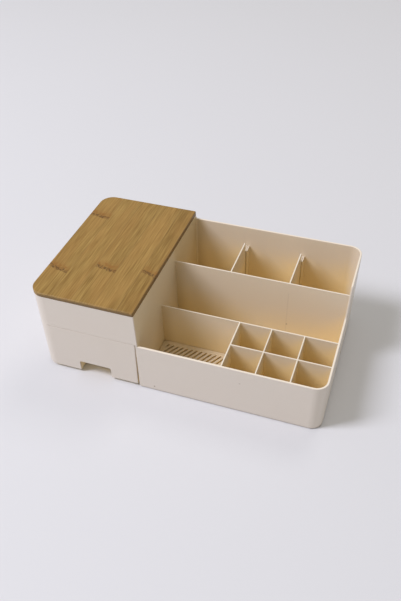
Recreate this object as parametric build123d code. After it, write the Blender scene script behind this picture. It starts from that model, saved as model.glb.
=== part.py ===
"""Desktop makeup organizer: a moulded tray with a lidded bin and a drawer on its left.

Millimetres, +Z up. The origin is on the table under the middle of the organizer,
+X is to the right seen from the front, and the front faces -Y.
Plan positions x and y in the dimensions count from the body's front left corner.
"""
import os
from math import ceil, cos, radians, tan

from build123d import *

# Outside of the main body, at its rims
width = 310.0
depth = 187.0
corner_radius = 16.0  # both upright corners at the left
right_corner_radius = 14.0
wall = 2.2
draft = 1.0  # degrees that every outside wall leans in towards the table
foot_round = 0.5
foot_height = 0.8
foot_inset = 2.0  # the foot stands back from the outside walls, which leaves a thin shadow line
front_wall_end = 114.1  # where the tray's front wall stops beside the drawer front
wall_end_radius = 2.5  # foot of the tray's front wall where it ends at the drawer

# Heights above the table
bin_rim = 101.0
back_rim = 97.0
back_row_rim = 86.0
tray_rim = 60.0
floor_thickness = 2.4

# Left third: the bin over the drawer bay
bin_width = 115.3
bin_floor_top = 64.0
bin_right_radius = 4.0
bay_ceiling = 62.0
bay_floor_top = 2.0
front_recess = 4.4  # depth of the recess in the partition's front end for the drawer front
corner_return = 20.0  # how far the drawer front wraps back along the left side

# Tray dividers
back_row_wall_y = 115.3
front_row_wall_y = 68.7
small_grid_wall_y = 33.9
small_grid_x = 204.3
small_cell_pitch = 34.55
small_cell_columns = 3
divider_thickness = 1.5
divider_draft = 0.3
divider_rim_round = 0.5
tray_left_radius = 3.0
mouth_bevel = 0.35
wall_rim_round = 0.6
bin_corner_round = 0.5

# The right wall's rim climbs steeply from the tray rim to the back rim
climb_front_y = 106.0
climb_back_y = 117.5
climb_radius = 5.0
sweep_radius = 2.6  # where the back rim sweeps up to the bin's rim

# Slide-in dividers of the back row, and the ribs that guide them
slide_divider_x = (179.3, 244.4)
slide_divider_rim = 85.0
slide_divider_thickness = 1.3
slide_divider_shoulder_y = 172.4  # behind it the plate is only as high as the ribs
slide_divider_round = 2.0
slide_gap = 0.35
back_guide_length = 11.0
front_guide_length = 3.0
guide_thickness = 1.3
guide_top = 72.5

# Drawer
drawer_bottom = 3.0
drawer_front_top = 61.7
drawer_gap_at_top = 0.8  # between the drawer front and the tray's front wall
drawer_gap_at_bottom = 2.0
drawer_side_gap = 0.4  # between the drawer front's return and the left side
drawer_box_front = 3.0  # inside the front panel
drawer_box_top = 54.0
drawer_box_left = 5.2
drawer_box_right = 112.5
drawer_box_back = 180.0
drawer_corner_radius = 13.0  # both left corners of the drawer box
drawer_right_radius = 5.0
drawer_draft = 0.5
drawer_wall = 1.8
drawer_floor = 2.0
drawer_front_round = 0.8
notch_left = 45.0
notch_width = 36.5
notch_top = 16.5
notch_radius = 2.0
pocket_depth = 16.0
runner_width = 3.0
runner_height = 0.7
runner_inset = 4.0

# Bamboo lid
lid_thickness = 4.6
lid_corner_radius = 15.0
lid_right_radius = 1.5
lid_step_height = 3.0
lid_step_gap = 0.7
lid_round = 0.8

# Drain grille on the floor of the wide front compartment
grille_top = 9.4
grille_thickness = 1.6
grille_gap = 0.5
grille_margin = 5.5
grille_corner_radius = 3.0
rail_width = 1.6
rail_inset = 2.0
slot_width = 2.1
slot_pitch = 5.52
slot_angle = 30.0  # degrees from the front to back direction
slot_bar = 4.0
first_slot = 2.1  # from the left end of the slots to the back end of the first one
smallest_slot_area = 6.0

inner_radius = corner_radius - wall
resting_gap = 0.2  # between two pieces where one rests on the other
overlap = 1.0  # how far one shape runs into the next before they are joined
beyond = 10.0  # how far a cutting shape reaches past what it cuts
tall = 200.0  # longer than the organizer is high or deep, for cutting shapes


def at(x, y, z=0.0):
    """Moves to a plan position counted from the front left corner of the body."""
    return Pos(x - width / 2, y - depth / 2, z)


def block(x0, x1, y0, y1, z0, z1):
    """A square-cornered block between two plan corners and two heights."""
    corner = (Align.MIN, Align.MIN, Align.MIN)
    return at(x0, y0, z0) * Box(x1 - x0, y1 - y0, z1 - z0, align=corner)


def outline(x0, x1, y0, y1, left_radius, right_radius):
    """A rectangle in plan with one corner radius at its left and one at its right."""
    shape = Rectangle(x1 - x0, y1 - y0)
    shape = fillet(shape.vertices().group_by(Axis.X)[0], left_radius)
    shape = fillet(shape.vertices().group_by(Axis.X)[-1], right_radius)
    return at((x0 + x1) / 2, (y0 + y1) / 2) * shape


def drafted(shape, top, height, lean=draft):
    """A plan outline carried down from a height and drawn in by the draft."""
    return extrude(Pos(0, 0, top) * shape, amount=-height, taper=lean)


def upright_outline(points, along):
    """A closed face in the side view, from points (distance, height)."""
    corners = []
    for distance, height in points:
        if along == "y":
            corners.append((0, distance - depth / 2, height))
        else:
            corners.append((distance - width / 2, 0, height))
    return make_face(Polyline(corners, close=True))


def rounded_at(face, distance, height, radius, along):
    """The same side view face with one of its corners rounded."""
    corner = (0, distance - depth / 2, height)
    if along == "x":
        corner = (distance - width / 2, 0, height)
    return fillet(face.vertices().sort_by_distance(corner)[0], radius)


def outside():
    """The whole outside of the body before anything is opened."""
    plan = outline(0, width, 0, depth, corner_radius, right_corner_radius)
    form = drafted(plan, bin_rim, bin_rim - foot_height)
    return fillet(form.faces().sort_by(Axis.Z)[0].edges(), foot_round)


def drawn_in(offset):
    """The outside drawn in by the same amount all round."""
    left_radius = corner_radius - offset
    right_radius = right_corner_radius - offset
    plan = outline(offset, width - offset, offset, depth - offset, left_radius, right_radius)
    return drafted(plan, bin_rim, bin_rim)


def foot():
    """The low foot under the whole body."""
    return drawn_in(foot_inset) & block(0, width, 0, depth, 0, foot_height + overlap)


def tray_cavity():
    """The one large hollow of the tray, before its dividers go in."""
    right_radius = right_corner_radius - wall
    plan = outline(bin_width, width - wall, wall, depth - wall, tray_left_radius, right_radius)
    return drafted(plan, bin_rim, bin_rim - floor_thickness)


def bin_cavity():
    """The hollow of the bin, open at the top."""
    plan = outline(wall, bin_width - wall, wall, depth - wall, inner_radius, bin_right_radius)
    return drafted(plan, bin_rim, bin_rim - bin_floor_top)


def partition_face(height):
    """How far right the partition's tray side is at a height, as its draft leans it."""
    return bin_width + (bin_rim - height) * tan(radians(draft))


def above_back_rim():
    """Everything over the back rim, which sweeps up to the bin's rim at the left."""
    far = width + beyond
    over = bin_rim + beyond
    corner = (partition_face(back_rim), back_rim)
    points = [(partition_face(over), over), corner, (far, back_rim), (far, over)]
    face = rounded_at(upright_outline(points, "x"), *corner, sweep_radius, "x")
    return Pos(0, back_row_wall_y - depth / 2, 0) * extrude(face, amount=tall, dir=(0, 1, 0))


def above_tray_rim():
    """Everything over the tray rim, up to the climb of the right wall to the back rim."""
    over = bin_rim + beyond
    low = (climb_front_y, tray_rim)
    high = (climb_back_y, back_rim)
    behind = climb_back_y + 2 * climb_radius
    points = [(-beyond, tray_rim), low, high, (behind, back_rim), (behind, over), (-beyond, over)]
    face = rounded_at(upright_outline(points, "y"), *low, climb_radius, "y")
    face = rounded_at(face, *high, climb_radius, "y")
    return extrude(face, amount=tall, dir=(1, 0, 0), both=True) & right_of_partition()


def right_of_partition():
    """All the space on the tray's side of the partition."""
    far = width + beyond
    low = -beyond
    points = [(partition_face(low), low), (far, low), (far, tall), (partition_face(tall), tall)]
    return extrude(upright_outline(points, "x"), amount=tall, dir=(0, 1, 0), both=True)


def crosswise_plate(x0, x1, y, top):
    """A fixed divider that runs left to right, thicker towards the floor."""
    half = divider_thickness / 2
    plan = at((x0 + x1) / 2, y) * Rectangle(x1 - x0, 2 * half)
    return drafted(plan, top, top - floor_thickness / 2, -divider_draft)


def lengthwise_plate(x, y0, y1, top):
    """A fixed divider that runs front to back, thicker towards the floor."""
    half = divider_thickness / 2
    plan = at(x, (y0 + y1) / 2) * Rectangle(2 * half, y1 - y0)
    return drafted(plan, top, top - floor_thickness / 2, -divider_draft)


def top_edges(plate):
    """The long top edges of a crosswise divider, the front one first."""
    return plate.edges().group_by(Axis.Z)[-1].filter_by(Axis.X).sort_by(Axis.Y)


def fixed_dividers():
    """The dividers moulded with the tray, their ends buried in its walls.

    The top edges that no other divider meets are rounded here, the rest in finished_rims.
    """
    start = bin_width - wall / 2
    back_row_wall = crosswise_plate(start, width, back_row_wall_y, back_row_rim)
    plates = fillet(top_edges(back_row_wall), divider_rim_round)
    front_row_wall = crosswise_plate(start, width, front_row_wall_y, tray_rim)
    plates += fillet(top_edges(front_row_wall)[-1], divider_rim_round)
    plates += crosswise_plate(small_grid_x, width, small_grid_wall_y, tray_rim)
    for column in range(small_cell_columns):
        x = small_grid_x + column * small_cell_pitch
        plates += lengthwise_plate(x, 0, front_row_wall_y, tray_rim)
    return plates & drawn_in(wall / 2)


def guide_ribs():
    """Pairs of ribs on the back wall and on the divider in front of it."""
    ribs = Part()
    front_face = back_row_wall_y + divider_thickness / 2
    back_face = depth - wall
    for x in slide_divider_x:
        for side in (-1, 1):
            middle = x + side * (slide_divider_thickness + guide_thickness + 2 * slide_gap) / 2
            x0 = middle - guide_thickness / 2
            x1 = middle + guide_thickness / 2
            rib = block(x0, x1, back_face - back_guide_length, depth, overlap, guide_top)
            ribs += rib & drawn_in(wall / 2)
            y0 = front_face - divider_thickness / 2
            ribs += block(x0, x1, y0, front_face + front_guide_length, overlap, guide_top)
    return ribs


def drawer_bay():
    """The hollow under the bin, with the recess that the drawer front fills."""
    out = -beyond
    bay = block(out, bin_width - wall, corner_return, depth, bay_floor_top, bay_ceiling)
    bay = bay & drawn_in(wall)
    front_space = block(out, bin_width - wall, out, corner_return, out, bay_ceiling)
    in_front_of_partition = block(out, front_wall_end, out, front_recess, out, bay_ceiling)
    return bay + front_space + in_front_of_partition


def runners():
    """Two low rails on the bay floor that carry the drawer."""
    rails = Part()
    top = bay_floor_top + runner_height
    for x in (drawer_box_left + runner_inset, drawer_box_right - runner_inset - runner_width):
        rails += block(x, x + runner_width, corner_return, drawer_box_back, overlap, top)
    return rails


def wall_end_foot():
    """What the rounded foot of the tray's front wall leaves open beside the drawer."""
    radius = wall_end_radius
    end = front_wall_end + radius
    middle = foot_height + radius
    corner = block(front_wall_end, end, -overlap, front_recess, -overlap, middle)
    barrel = Cylinder(radius, 2 * tall)
    return corner - at(end, 0, middle) * Rot(90, 0, 0) * barrel


def level_face(body, height):
    """The largest level face at a height."""
    level = body.faces().filter_by(Axis.Z).filter_by_position(Axis.Z, height - 0.01, height + 0.01)
    return level.sort_by(SortBy.AREA)[-1]


def mouth_edges(body, height):
    """The edges round every mouth that opens in the rim at a height."""
    return [edge for mouth in level_face(body, height).inner_wires() for edge in mouth.edges()]


def long_edges(body, height):
    """The long edges of the rim at a height, the front one first."""
    edges = level_face(body, height).edges()
    return edges.filter_by(lambda edge: edge.length > bin_width).sort_by(Axis.Y)


def finished_rims(body):
    """The body with its rims eased. A rounding runs on as far as its edge is smooth."""
    for rim in (tray_rim, bin_rim):
        body = chamfer(mouth_edges(body, rim), mouth_bevel)
    body = fillet(long_edges(body, back_rim)[0], wall_rim_round)
    body = fillet(long_edges(body, tray_rim)[0], wall_rim_round)
    uprights = body.edges().filter_by_position(Axis.Z, tray_rim + 5, bin_rim)
    beside_tray = uprights.sort_by_distance(at(bin_width, 0, (tray_rim + bin_rim) / 2).position)[0]
    return fillet(beside_tray, bin_corner_round)


def main_body():
    """The tray, the bin and the drawer bay as one moulding."""
    body = outside() + foot() - above_back_rim() - above_tray_rim()
    body = body - tray_cavity() - bin_cavity()
    body = body - drawer_bay() + runners() - wall_end_foot()
    return finished_rims(body + fixed_dividers() + guide_ribs())


def drawer_front():
    """The drawer's front panel, wrapped round the rounded front left corner."""
    out = -beyond
    back = corner_return - drawer_side_gap
    form = outside() & block(out, bin_width, out, back, drawer_bottom, drawer_front_top)
    bottom_right = front_wall_end - drawer_gap_at_bottom
    slope = (drawer_gap_at_bottom - drawer_gap_at_top) / (drawer_front_top - drawer_bottom)
    low = bottom_right - slope * drawer_bottom
    points = [(out, 0), (low, 0), (low + slope * tall, tall), (out, tall)]
    form &= extrude(upright_outline(points, "x"), amount=tall, dir=(0, 1, 0), both=True)
    creases = form.edges().filter_by(GeomType.BEZIER, reverse=True)  # all but the corner's smooth seams
    return fillet(creases, drawer_front_round) - drawn_in(wall)


def drawer_plan(inset):
    """The drawer box in plan, drawn in by the same amount all round."""
    return outline(
        drawer_box_left + inset,
        drawer_box_right - inset,
        drawer_box_front + inset,
        drawer_box_back - inset,
        drawer_corner_radius - inset,
        drawer_right_radius - inset,
    )


def drawer():
    """The drawer: front panel, box, and the raised pocket behind the finger notch."""
    height = drawer_box_top - drawer_bottom
    box_form = Pos(0, 0, drawer_bottom) * extrude(drawer_plan(0), amount=height)
    hollow = drafted(drawer_plan(drawer_wall), drawer_box_top, height - drawer_floor, drawer_draft)
    right = notch_left + notch_width
    cover = block(
        notch_left - drawer_wall,
        right + drawer_wall,
        drawer_box_front,
        pocket_depth + drawer_wall,
        drawer_bottom,
        notch_top + drawer_wall,
    )
    pocket = block(notch_left, right, -beyond, pocket_depth, -beyond, notch_top)
    pocket = fillet(pocket.edges().filter_by(Axis.Y).group_by(Axis.Z)[-1], notch_radius)
    return drawer_front() + (box_form - hollow) + cover - pocket


def bamboo_lid():
    """One bamboo board, flush with the body, with a step that drops into the bin."""
    under = bin_rim + resting_gap
    plan = outline(0, bin_width, 0, depth, lid_corner_radius, lid_right_radius)
    board = Pos(0, 0, under) * extrude(plan, amount=lid_thickness)
    board = fillet(board.faces().sort_by(Axis.Z)[-1].edges(), lid_round)
    inset = wall + lid_step_gap
    left_radius = inner_radius - lid_step_gap
    right_radius = bin_right_radius - lid_step_gap
    step_plan = outline(inset, bin_width - inset, inset, depth - inset, left_radius, right_radius)
    return board + drafted(step_plan, under + overlap, lid_step_height + overlap)


def slide_divider(x):
    """A thin plate between the guide ribs, with a low tail behind its shoulder."""
    front = back_row_wall_y + divider_thickness / 2 + slide_gap
    front_lean = (slide_divider_rim - floor_thickness) * tan(radians(divider_draft))
    back = depth - wall - slide_gap
    tail_lean = (bin_rim - guide_top) * tan(radians(draft))
    back_lean = (bin_rim - floor_thickness) * tan(radians(draft))
    bottom = floor_thickness + slide_gap
    shoulder = (slide_divider_shoulder_y, slide_divider_rim)
    points = [
        (front, slide_divider_rim),
        (front + front_lean, bottom),
        (back - back_lean, bottom),
        (back - tail_lean, guide_top),
        (slide_divider_shoulder_y, guide_top),
        shoulder,
    ]
    face = upright_outline(points, "y")
    for distance, height in (points[0], shoulder):
        face = rounded_at(face, distance, height, slide_divider_round, "y")
    left = x - width / 2 - slide_divider_thickness / 2
    return Pos(left, 0, 0) * extrude(face, amount=slide_divider_thickness, dir=(1, 0, 0))


def slanted_slots(x0, x1, y0, y1):
    """Slanted slots that fill a rectangle in plan, without the scraps in its corners."""
    run = (y1 - y0) * tan(radians(slot_angle))
    half = slot_width / cos(radians(slot_angle)) / 2
    slots = Sketch()
    for number in range(ceil((x1 - x0 + run) / slot_pitch)):
        back = x0 + first_slot + slot_pitch * number - width / 2
        front = back - run
        low = y0 - depth / 2
        high = y1 - depth / 2
        corners = [(back - half, high), (back + half, high), (front + half, low), (front - half, low)]
        slots += make_face(Polyline(corners, close=True))
    field = at((x0 + x1) / 2, (y0 + y1) / 2) * Rectangle(x1 - x0, y1 - y0)
    return (slots & field).faces().filter_by(lambda slot: slot.area > smallest_slot_area)


def drain_grille():
    """A lift-out plate with slanted drain slots, standing on two side rails."""
    wall_lean = (bin_rim - grille_top) * tan(radians(draft))
    divider_lean = (tray_rim - grille_top) * tan(radians(divider_draft))
    divider_room = divider_thickness / 2 + divider_lean + grille_gap
    x0 = bin_width + wall_lean + grille_gap
    x1 = small_grid_x - divider_room
    y0 = wall + wall_lean + grille_gap
    y1 = front_row_wall_y - divider_room
    under = grille_top - grille_thickness
    plan = at((x0 + x1) / 2, (y0 + y1) / 2) * RectangleRounded(x1 - x0, y1 - y0, grille_corner_radius)
    plate = Pos(0, 0, under) * extrude(plan, amount=grille_thickness)
    middle = (y0 + y1) / 2
    rows = ((y0 + grille_margin, middle - slot_bar / 2), (middle + slot_bar / 2, y1 - grille_margin))
    for low, high in rows:
        for slot in slanted_slots(x0 + grille_margin, x1 - grille_margin, low, high):
            plate -= Pos(0, 0, under - overlap) * extrude(slot, amount=grille_thickness + 2 * overlap)
    for x in (x0 + rail_inset, x1 - rail_inset - rail_width):
        front = y0 + grille_corner_radius
        back = y1 - grille_corner_radius
        foot = floor_thickness + resting_gap
        plate += block(x, x + rail_width, front, back, foot, under + overlap)
    return plate


def main():
    """Builds every piece and writes one file for each."""
    os.makedirs("parts", exist_ok=True)
    pieces = {
        "main_body": main_body(),
        "drawer": drawer(),
        "bamboo_lid": bamboo_lid(),
        "left_divider": slide_divider(slide_divider_x[0]),
        "right_divider": slide_divider(slide_divider_x[1]),
        "drain_grille": drain_grille(),
    }
    for name, piece in pieces.items():
        piece.label = name
        export_step(piece, f"parts/{name}.step")


main()
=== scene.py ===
"""Looks of a desktop makeup organizer: cream moulded plastic and a bamboo lid.

Metres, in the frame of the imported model: the origin is on the table under the middle of the
organizer, +X is to the right seen from the front, the front faces -Y and +Z is up.

A span below is a pair of measures over which a mask goes from 0 at the first to 1 at the second.
A share is how strongly a layer shows at most.
"""

from math import radians, tan

import bpy
from mathutils import Matrix, Vector


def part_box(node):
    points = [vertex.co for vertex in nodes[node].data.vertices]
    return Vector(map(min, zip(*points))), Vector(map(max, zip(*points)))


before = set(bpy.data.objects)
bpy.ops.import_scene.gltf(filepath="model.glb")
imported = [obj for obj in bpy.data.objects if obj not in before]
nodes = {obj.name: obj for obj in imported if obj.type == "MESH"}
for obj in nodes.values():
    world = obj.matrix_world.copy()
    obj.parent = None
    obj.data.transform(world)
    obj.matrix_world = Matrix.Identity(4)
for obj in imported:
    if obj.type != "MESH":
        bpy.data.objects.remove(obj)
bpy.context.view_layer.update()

# The camera, in the frame of the model
camera_place = Vector((0.185456, -0.525282, 0.539812))
camera_forward = Vector((-0.25522, 0.71077, -0.65549))
camera_up = Vector((-0.20094, 0.62415, 0.75502))
camera_focal_pixels = 673.35
photo_height_pixels = 601
sensor_size = 36.0
nearest_seen = 0.01

# Lamps: name, place, width and height, watts, tint
lamps = (
    ("window", (-2.23, -1.29, 3.06), (0.9, 1.9), 119.0, (0.87, 0.88, 1.0)),
    ("back_wall", (0.59, 2.22, 3.33), (1.6, 1.6), 20.0, (1.0, 0.97, 0.94)),
)
lamp_aim = Vector((0.0, 0.0, 0.05))
daylight_tint = (1.0, 0.965, 0.91)
daylight_strength = 0.40
backdrop_tone = (0.62, 0.615, 0.64)

# Floor
floor_radius = 2.6
floor_corners = 128
floor_tone = (0.755, 0.755, 0.765)
pale_floor_tone = (0.765, 0.765, 0.775)
floor_cloud_scale = 3.0
floor_pore_scale = 300.0
floor_pore_strength = 0.05
floor_pore_depth = 0.0002
floor_roughness = 0.7

# Outside of the body, from the solids
body_low, body_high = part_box("main_body")
lid_low, lid_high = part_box("bamboo_lid")
right_divider_low, right_divider_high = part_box("right_divider")
half_width = -body_low.x
half_depth = -body_low.y
bin_rim = body_high.z
partition_face = lid_high.x  # on the tray's side, flush with the lid
corner_radius = 0.015
draft = tan(radians(1.0))  # the outside walls lean in towards the table

# Cream plastic: the outside is a cool pale cream; a painted warmth inside the walls and a painted
# glow deep in the hollows stand in for light bounced around and shining through the thin walls
outside_cream = (0.755, 0.680, 0.594)
# Painted warmth inside the walls, for light bounced around the hollows and shining through them
painted_inside_warmth = (0.80, 0.69, 0.54)
# Painted glow deep in the hollows, where little of the room is seen
painted_hollow_glow = (0.97, 0.775, 0.41)
# Painted highlight on open rims that face up
painted_rim_highlight = (0.93, 0.83, 0.68)
shaded_cream = (0.68, 0.56, 0.36)
# Painted shadow of the partition on the walls beside it
partition_shadow_cream = (0.60, 0.455, 0.225)
cloud_cream = (0.70, 0.56, 0.42)
# Specks and the sink line, and the painted contact shadow along the lowest edge
blemish_and_shadow_tone = (0.30, 0.21, 0.13)
plastic_roughness = (0.30, 0.36)
plastic_ior = 1.48

# Where each tone of the plastic lies
inside_span = (0.0007, 0.0019)  # depth below the outside
openness_reach = 0.09  # how far off a wall still closes in a place
openness_samples = 8
hollow_glow_span = (0.36, 0.06)  # openness
rim_openness_span = (0.45, 0.75)
rim_upward_span = (0.6, 0.9)  # how far a face is turned up
rightward_span = (0.5, 0.9)  # how far a face is turned right
shaded_share = 0.75
# Painted shade on inner faces turned right, away from the window, and the partition's painted shadow
partition_shadow_share = 0.55
near_partition_span = (0.017, 0.001)  # distance right of the partition
past_partition_span = (-0.0010, -0.0005)
back_row_span = (0.012, 0.028)  # distance behind the origin
over_base_span = (0.0015, 0.0028)  # height

# Fine marks of the moulding
noise_middle = 0.5
noise_span = (0.3, 0.7)  # what noise mostly covers
cloud_scale = 22.0
cloud_detail = 3.0
cloud_share = 0.05
gloss_scale = 60.0
pore_scale = 420.0
pore_strength = 0.10
pore_depth = 0.0001
plastic_edge_radius = 0.0004
blemishes = (  # place and how dark
    ((0.0690, -0.0925, 0.0423), 0.4),
    ((-0.0239, -0.0919, 0.0058), 1.0),
    ((0.0901, 0.0209, 0.0285), 0.7),
)
blemish_radius = 0.0013
blemish_core = 0.3  # part of the radius that is evenly dark
blemish_share = 0.85
contact_shadow_span = (0.0020, 0.0007)  # height: painted contact shadow darkens the lowest edge
contact_shadow_share = 0.5
sink_line = (right_divider_low.x + right_divider_high.x) / 2  # in front of this divider's ribs
sink_face = 0.0211  # the front face of the back row's front wall
sink_width_span = (0.0011, 0.0)
sink_face_span = (0.0012, 0.0008)
sink_height_span = (0.076, 0.070)
sink_share = 0.11
sink_strength = 0.2
sink_depth = 0.0001

# Bamboo: strips that run front to back, and the nodes of the stalks across them
lid_width = lid_high.x - lid_low.x
strip_edges = (0.025, 0.0485, 0.073, 0.098)  # from the lid's left edge
strip_tones = (0.47, 0.52, 0.47, 0.60, 0.05)
strip_fade = 0.0006
stalk_nodes = (  # strip, distance from the front, slant
    (0, 0.1445, -0.13),
    (0, 0.0425, -0.25),
    (2, 0.0570, -0.20),
    (4, 0.0620, -0.40),
)
pale_bamboo = (0.47, 0.295, 0.082)
dark_bamboo = (0.235, 0.128, 0.024)
node_bamboo = (0.125, 0.062, 0.014)
halo_bamboo = (0.29, 0.130, 0.022)
warm_bamboo = (0.43, 0.225, 0.058)
# End grain and glue lines, and the painted shade along the lid's right edge
end_grain_and_shade = (0.150, 0.090, 0.032)
bamboo_roughness = (0.40, 0.50)
bamboo_ior = 1.45
bamboo_edge_radius = 0.0005

# Layers of the grain: waves in a metre across the strips and along them, detail, roughness
fibre_grain = (700.0, 32.0, 2.0)
streak_grain = (330.0, 9.0, 3.0, 0.65)
band_grain = (90.0, 7.0, 2.0)
warm_grain = (60.0, 14.0, 3.0)
hairline_grain = (1000.0, 20.0, 1.0)
waver_grain = (260.0, 60.0, 2.0)
mottle_grain = (520.0, 420.0, 3.0)
blotch_grain = (240.0, 200.0, 2.0)
shift_across = 3.0  # how far a strip's tone moves its grain, so that no two strips match
shift_along = 7.0

# How much each layer counts between dark and pale bamboo, and what is taken off their sum
strip_share = 0.45
streak_share = 0.8
fibre_share = 1.75
band_share = 0.45
paleness_offset = 1.30

# Marks on the bamboo
warm_span = (0.40, 0.66)
warm_share = 0.30
hairline_span = (0.62, 0.72)
hairline_share = 0.6
waver_reach = 0.006
node_line_span = (0.0034, 0.0010)  # distance from the middle of the line
halo_front_span = (-0.003, 0.001)  # distance behind the line
halo_back_span = (0.013, 0.004)
mottle_span = (0.42, 0.58)
mottle_share = 0.75
least_mottle = 0.15
blotch_span = (0.40, 0.65)
blotch_share = 0.55
least_blotch = 0.35
glue_span = (0.0005, 0.0001)
glue_share = 0.35
front_end_span = (0.0012, 0.0004)  # distance behind the front end
below_top_span = (0.0011, 0.0021)
# Painted shade along the lid's right edge, beside the partition
right_edge_shade_span = (0.0010, 0.0002)
right_edge_shade_share = 0.6
pore_dot_scale = 1400.0  # cut fibres show as dots in the end grain
pore_dot_span = (0.35, 0.65)
pore_dot_shares = (0.55, 0.95)
fibre_strength = 0.15
fibre_depth = 0.0002

# Samples of a softened edge, and the sockets of a Mix node that blends colours
edge_samples = 4
mix_factor = 0
mix_first = 6
mix_second = 7
mix_result = 2


class Value:
    """An output of a shader node that takes part in sums with numbers and other outputs."""

    def __init__(self, shader, socket):
        self.shader = shader
        self.socket = socket

    def combined(self, operation, *values):
        return self.shader.node("ShaderNodeMath", {"operation": operation}, dict(enumerate(values)))

    def __add__(self, other):
        return self.combined("ADD", self, other)

    def __radd__(self, other):
        return self.combined("ADD", other, self)

    def __sub__(self, other):
        return self.combined("SUBTRACT", self, other)

    def __rsub__(self, other):
        return self.combined("SUBTRACT", other, self)

    def __mul__(self, other):
        return self.combined("MULTIPLY", self, other)

    def __rmul__(self, other):
        return self.combined("MULTIPLY", other, self)

    def __abs__(self):
        return self.combined("ABSOLUTE", self)

    def at_most(self, other):
        return self.combined("MINIMUM", self, other)

    def at_least(self, other):
        return self.combined("MAXIMUM", self, other)

    def root(self):
        return self.combined("SQRT", self)


class Shader:
    """The nodes of one material, ending in one principled surface."""

    def __init__(self, name):
        self.material = bpy.data.materials.new(name)
        self.material.use_nodes = True
        self.tree = self.material.node_tree
        self.tree.nodes.clear()

    def node(self, kind, settings=None, inputs=None, output=0):
        """Adds a node: its settings are set first, then the values or links of its sockets."""
        made = self.tree.nodes.new(kind)
        for name, setting in (settings or {}).items():
            if name == "stops":
                self.fill_ramp(made.color_ramp, setting)
            else:
                setattr(made, name, setting)
        for name, given in (inputs or {}).items():
            if isinstance(given, Value):
                self.tree.links.new(given.socket, made.inputs[name])
            else:
                made.inputs[name].default_value = given
        return Value(self, made.outputs[output]) if made.outputs else None

    def fill_ramp(self, ramp, stops):
        """Gives a stepped ramp its stops, each a position and a grey level."""
        ramp.interpolation = "CONSTANT"
        while len(ramp.elements) < len(stops):
            ramp.elements.new(1.0)
        for element, (position, level) in zip(ramp.elements, stops):
            element.position = position
            element.color = (level, level, level, 1.0)

    def place(self):
        """Object coordinates."""
        return self.node("ShaderNodeTexCoord", output="Object")

    def facing(self):
        """The direction that a face is turned to."""
        return self.node("ShaderNodeNewGeometry", output="Normal")

    def axes(self, place):
        """The three distances of a place as separate values."""
        split = self.node("ShaderNodeSeparateXYZ", inputs={"Vector": place})
        outputs = split.socket.node.outputs
        return [Value(self, outputs[axis]) for axis in "XYZ"]

    def joined(self, x, y, z):
        """A place made of three values."""
        return self.node("ShaderNodeCombineXYZ", inputs={"X": x, "Y": y, "Z": z})

    def distance(self, place, point):
        """How far a place is from a fixed point."""
        sockets = {0: place, 1: point}
        return self.node("ShaderNodeVectorMath", {"operation": "DISTANCE"}, sockets, output="Value")

    def noise(self, place, scale, detail=2.0, roughness=0.5):
        """Smooth noise about its middle over a place."""
        sockets = {"Vector": place, "Scale": scale, "Detail": detail, "Roughness": roughness}
        return self.node("ShaderNodeTexNoise", inputs=sockets, output="Fac")

    def grain(self, place, across, along, detail, roughness=0.5):
        """Noise drawn out from front to back, with so many waves in a metre each way."""
        sockets = {"Vector": place, "Scale": (across, along, across)}
        drawn_out = self.node("ShaderNodeMapping", inputs=sockets)
        return self.noise(drawn_out, 1.0, detail, roughness)

    def between(self, value, low, high, first=0.0, last=1.0):
        """A value that goes smoothly from first to last while another goes from low to high."""
        sockets = {"Value": value, "From Min": low, "From Max": high, "To Min": first, "To Max": last}
        return self.node("ShaderNodeMapRange", {"interpolation_type": "SMOOTHSTEP"}, sockets)

    def openness(self):
        """How much of the room a place sees: 1 in the open and near 0 deep in a hollow."""
        settings = {"samples": openness_samples, "only_local": False}
        sockets = {"Distance": openness_reach}
        return self.node("ShaderNodeAmbientOcclusion", settings, sockets, output="AO")

    def layered(self, tone, *layers):
        """A colour with others laid over it in turn, each by its own factor."""
        settings = {"data_type": "RGBA", "clamp_factor": True}
        for factor, over in layers:
            sockets = {mix_factor: factor, mix_first: colour(tone), mix_second: colour(over)}
            tone = self.node("ShaderNodeMix", settings, sockets, output=mix_result)
        return tone

    def soft_edge(self, radius):
        """A normal that rounds the sharp edges."""
        return self.node("ShaderNodeBevel", {"samples": edge_samples}, {"Radius": radius})

    def bump(self, height, strength, distance, normal=None):
        """A normal tilted by a height, on top of another normal."""
        sockets = {"Strength": strength, "Distance": distance, "Height": height}
        if normal:
            sockets["Normal"] = normal
        return self.node("ShaderNodeBump", inputs=sockets)

    def finish(self, tone, roughness, normal, **constants):
        """Ends the tree in a principled surface whose constant sockets are set on it."""
        sockets = {"Base Color": tone, "Roughness": roughness, "Normal": normal, **constants}
        surface = self.node("ShaderNodeBsdfPrincipled", inputs=sockets)
        self.node("ShaderNodeOutputMaterial", inputs={"Surface": surface})
        return self.material


def colour(given):
    """A colour as four numbers, or the output that gives it."""
    return given if isinstance(given, Value) else (*given, 1.0)


def depth_below_outside(x, y, z):
    """How far a place lies inside the drafted outline with round corners.

    The outline is a rectangle in plan. Past the centres of its corners the distance is the
    corner radius less the length of the two overshoots taken together.
    """
    lean = (bin_rim - z) * draft
    over_x = abs(x) - (half_width - corner_radius) + lean
    over_y = abs(y) - (half_depth - corner_radius) + lean
    out_x = over_x.at_least(0.0)
    out_y = over_y.at_least(0.0)
    corner = (out_x * out_x + out_y * out_y).root()
    return corner_radius - corner - over_x.at_least(over_y).at_most(0.0)


def blemish_mask(shader, place):
    """Small dark specks moulded into the walls."""
    core = blemish_core * blemish_radius
    return sum(
        strength * shader.between(shader.distance(place, point), blemish_radius, core)
        for point, strength in blemishes
    )


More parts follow.
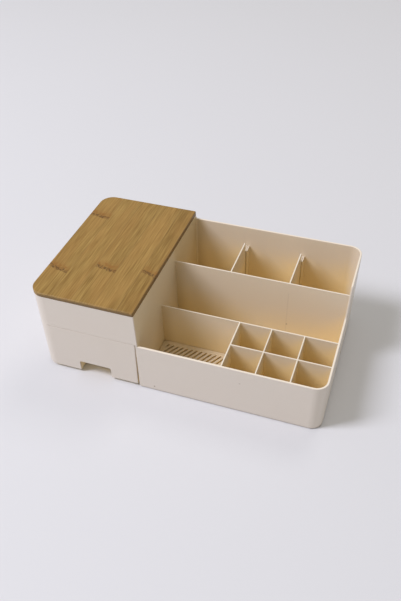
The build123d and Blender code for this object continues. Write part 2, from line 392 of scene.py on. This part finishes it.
def sink_mask(shader, x, y, z):
    """A faint upright line on the back row's wall in front of its right guide ribs."""
    line = shader.between(abs(x - sink_line), *sink_width_span)
    on_face = shader.between(abs(y - sink_face), *sink_face_span)
    return line * on_face * shader.between(z, *sink_height_span)


def partition_shadow_mask(shader, x, y, z, turned_right):
    """Painted shadow of the partition on the tray's walls beside it, and painted shade on the
    partition itself in the back row.
    """
    past = x - partition_face
    beside = shader.between(past, *near_partition_span) * shader.between(past, *past_partition_span)
    over_base = shader.between(z, *over_base_span)
    in_back_row = shader.between(y, *back_row_span)
    return beside * over_base * (1.0 - turned_right + turned_right * in_back_row)


def cream_plastic(name):
    """Satin cream plastic with painted warmth and glow in its hollows, painted shade on faces turned
    right and beside the partition, a painted rim highlight and a painted contact shadow at its lowest
    edge, with faint specks and a sink line.
    """
    shader = Shader(name)
    place = shader.place()
    x, y, z = shader.axes(place)
    rightward, _, upward = shader.axes(shader.facing())
    openness = shader.openness()
    inside = shader.between(depth_below_outside(x, y, z), *inside_span)
    hollow_glow = inside * shader.between(openness, *hollow_glow_span)
    turned_right = shader.between(rightward, *rightward_span)
    partition_shadow = inside * partition_shadow_mask(shader, x, y, z, turned_right)
    rim_highlight = shader.between(upward, *rim_upward_span) * shader.between(openness, *rim_openness_span)
    cloud = shader.noise(place, cloud_scale, cloud_detail)
    sink = sink_mask(shader, x, y, z)
    tone = shader.layered(
        outside_cream,
        # painted warmth of bounced light inside the walls, then a stronger painted glow deep in the
        # hollows
        (inside, painted_inside_warmth),
        (hollow_glow, painted_hollow_glow),
        # painted shade on inner faces turned right, away from the window, then the partition's
        # painted shadow beside it
        (shaded_share * turned_right * inside * (1.0 - hollow_glow), shaded_cream),
        (partition_shadow_share * partition_shadow, partition_shadow_cream),
        # painted highlight on open rims that face up
        (rim_highlight, painted_rim_highlight),
        (shader.between(cloud, *noise_span, last=cloud_share), cloud_cream),
        (sink_share * sink, blemish_and_shadow_tone),
        (blemish_share * blemish_mask(shader, place), blemish_and_shadow_tone),
        # painted contact shadow along the lowest edge
        (contact_shadow_share * shader.between(z, *contact_shadow_span), blemish_and_shadow_tone),
    )
    gloss = shader.between(shader.noise(place, gloss_scale), *noise_span, *plastic_roughness)
    pores = shader.noise(place, pore_scale)
    normal = shader.bump(pores, pore_strength, pore_depth, shader.soft_edge(plastic_edge_radius))
    normal = shader.bump(sink, sink_strength, -sink_depth, normal)
    return shader.finish(tone, gloss, normal, IOR=plastic_ior)


def strip_level(shader, across):
    """The grey level of the bamboo strip at a distance from the lid's left edge."""
    starts = [edge / lid_width for edge in (0.0, *strip_edges)]
    stops = list(zip(starts, strip_tones))
    return shader.node("ShaderNodeValToRGB", {"stops": stops}, {"Fac": across * (1.0 / lid_width)})


def stalk_node_masks(shader, across, along, waver):
    """Where the strips carry a node of the stalk: a slanted line, and the halo behind it."""
    starts = (0.0, *strip_edges)
    ends = (*strip_edges, lid_width + strip_fade)
    lines = []
    halos = []
    for strip, distance, slant in stalk_nodes:
        start = starts[strip]
        end = ends[strip]
        middle = (start + end) / 2
        line = distance + (across - middle) * slant + (waver - noise_middle) * waver_reach
        past = along - line
        from_left = shader.between(across, start, start + strip_fade)
        on_strip = from_left * shader.between(across, end, end - strip_fade)
        halo = shader.between(past, *halo_front_span) * shader.between(past, *halo_back_span)
        lines.append(on_strip * shader.between(abs(past), *node_line_span))
        halos.append(on_strip * halo)
    return sum(lines), sum(halos)


def end_grain_mask(shader, place, along, z):
    """The front end of the board below its rounded edge, dotted with cut fibres."""
    front_end = shader.between(along, *front_end_span)
    below_top = shader.between(lid_high.z - z, *below_top_span)
    dots = shader.between(shader.noise(place, pore_dot_scale), *pore_dot_span, *pore_dot_shares)
    return front_end * below_top * dots


def bamboo(name):
    """Laminated bamboo strips under thin lacquer, with fine fibres and stalk nodes."""
    shader = Shader(name)
    place = shader.place()
    x, y, z = shader.axes(place)
    across = x - lid_low.x
    along = y + half_depth
    level = strip_level(shader, across)
    moved = shader.joined(x + level * shift_across, y + level * shift_along, z)
    fibre = shader.grain(moved, *fibre_grain)
    streak = shader.grain(moved, *streak_grain)
    band = shader.grain(moved, *band_grain)
    layers = strip_share * level + streak_share * streak + fibre_share * fibre + band_share * band
    warmth = shader.between(shader.grain(moved, *warm_grain), *warm_span)
    hairline = shader.between(shader.grain(moved, *hairline_grain), *hairline_span)
    mottle = shader.between(shader.grain(moved, *mottle_grain), *mottle_span)
    blotch = shader.between(shader.grain(moved, *blotch_grain), *blotch_span)
    waver = shader.grain(moved, *waver_grain)
    line, halo = stalk_node_masks(shader, across, along, waver)
    glue = sum(shader.between(abs(across - edge), *glue_span) for edge in strip_edges)
    right_edge_shade = shader.between(lid_width - across, *right_edge_shade_span)
    tone = shader.layered(
        dark_bamboo,
        (layers - paleness_offset, pale_bamboo),
        (warm_share * warmth, warm_bamboo),
        (hairline_share * hairline, dark_bamboo),
        (halo * (blotch_share * blotch + least_blotch), halo_bamboo),
        (line * (mottle_share * mottle + least_mottle), node_bamboo),
        (glue_share * glue, end_grain_and_shade),
        (end_grain_mask(shader, place, along, z), end_grain_and_shade),
        # painted shade along the lid's right edge
        (right_edge_shade_share * right_edge_shade, end_grain_and_shade),
    )
    gloss = shader.between(fibre, *noise_span, *bamboo_roughness)
    edge = shader.soft_edge(bamboo_edge_radius)
    normal = shader.bump(fibre, fibre_strength, fibre_depth, edge)
    return shader.finish(tone, gloss, normal, IOR=bamboo_ior)


def dress(node, material):
    """Gives a node of the model one material."""
    slots = nodes[node].data.materials
    slots.clear()
    slots.append(material)


def add_camera():
    """The camera that saw the photograph."""
    data = bpy.data.cameras.new("camera")
    data.sensor_width = sensor_size
    data.lens = camera_focal_pixels * sensor_size / photo_height_pixels
    data.clip_start = nearest_seen
    camera = bpy.data.objects.new("camera", data)
    bpy.context.scene.collection.objects.link(camera)
    back = -camera_forward.normalized()
    right = camera_up.cross(back).normalized()
    up = back.cross(right)
    turn = Matrix((right, up, back)).transposed().to_4x4()
    camera.matrix_world = Matrix.Translation(camera_place) @ turn
    bpy.context.scene.camera = camera


def add_floor():
    """A plain pale round floor."""
    bpy.ops.mesh.primitive_circle_add(vertices=floor_corners, radius=floor_radius, fill_type="NGON")
    floor = bpy.context.object
    floor.name = "floor"
    shader = Shader("floor_paint")
    place = shader.place()
    tone = shader.layered(floor_tone, (shader.noise(place, floor_cloud_scale), pale_floor_tone))
    pores = shader.noise(place, floor_pore_scale)
    normal = shader.bump(pores, floor_pore_strength, floor_pore_depth)
    floor.data.materials.append(shader.finish(tone, floor_roughness, normal))


def add_lamp(name, place, size, power, tint):
    """A rectangular area lamp that faces the organizer."""
    data = bpy.data.lights.new(name, "AREA")
    data.shape = "RECTANGLE"
    data.size, data.size_y = size
    data.energy = power
    data.color = tint
    lamp = bpy.data.objects.new(name, data)
    bpy.context.scene.collection.objects.link(lamp)
    lamp.location = place
    lamp.rotation_euler = (lamp_aim - Vector(place)).to_track_quat("-Z", "Y").to_euler()


def add_daylight():
    """Even light from all round, and a pale background where the camera sees past the floor."""
    world = bpy.data.worlds.new("room")
    bpy.context.scene.world = world
    world.use_nodes = True
    tree = world.node_tree
    light = tree.nodes["Background"]
    light.inputs["Color"].default_value = (*daylight_tint, 1.0)
    light.inputs["Strength"].default_value = daylight_strength
    seen = tree.nodes.new("ShaderNodeBackground")
    seen.inputs["Color"].default_value = (*backdrop_tone, 1.0)
    either = tree.nodes.new("ShaderNodeMixShader")
    rays = tree.nodes.new("ShaderNodeLightPath")
    tree.links.new(rays.outputs["Is Camera Ray"], either.inputs["Fac"])
    tree.links.new(light.outputs["Background"], either.inputs[1])
    tree.links.new(seen.outputs["Background"], either.inputs[2])
    tree.links.new(either.outputs["Shader"], tree.nodes["World Output"].inputs["Surface"])


plastic = cream_plastic("cream_plastic")
for node in ("main_body", "drawer", "left_divider", "right_divider", "drain_grille"):
    dress(node, plastic)
dress("bamboo_lid", bamboo("bamboo"))

add_camera()
add_floor()
for lamp in lamps:
    add_lamp(*lamp)
add_daylight()

bpy.context.scene.view_settings.view_transform = "Standard"
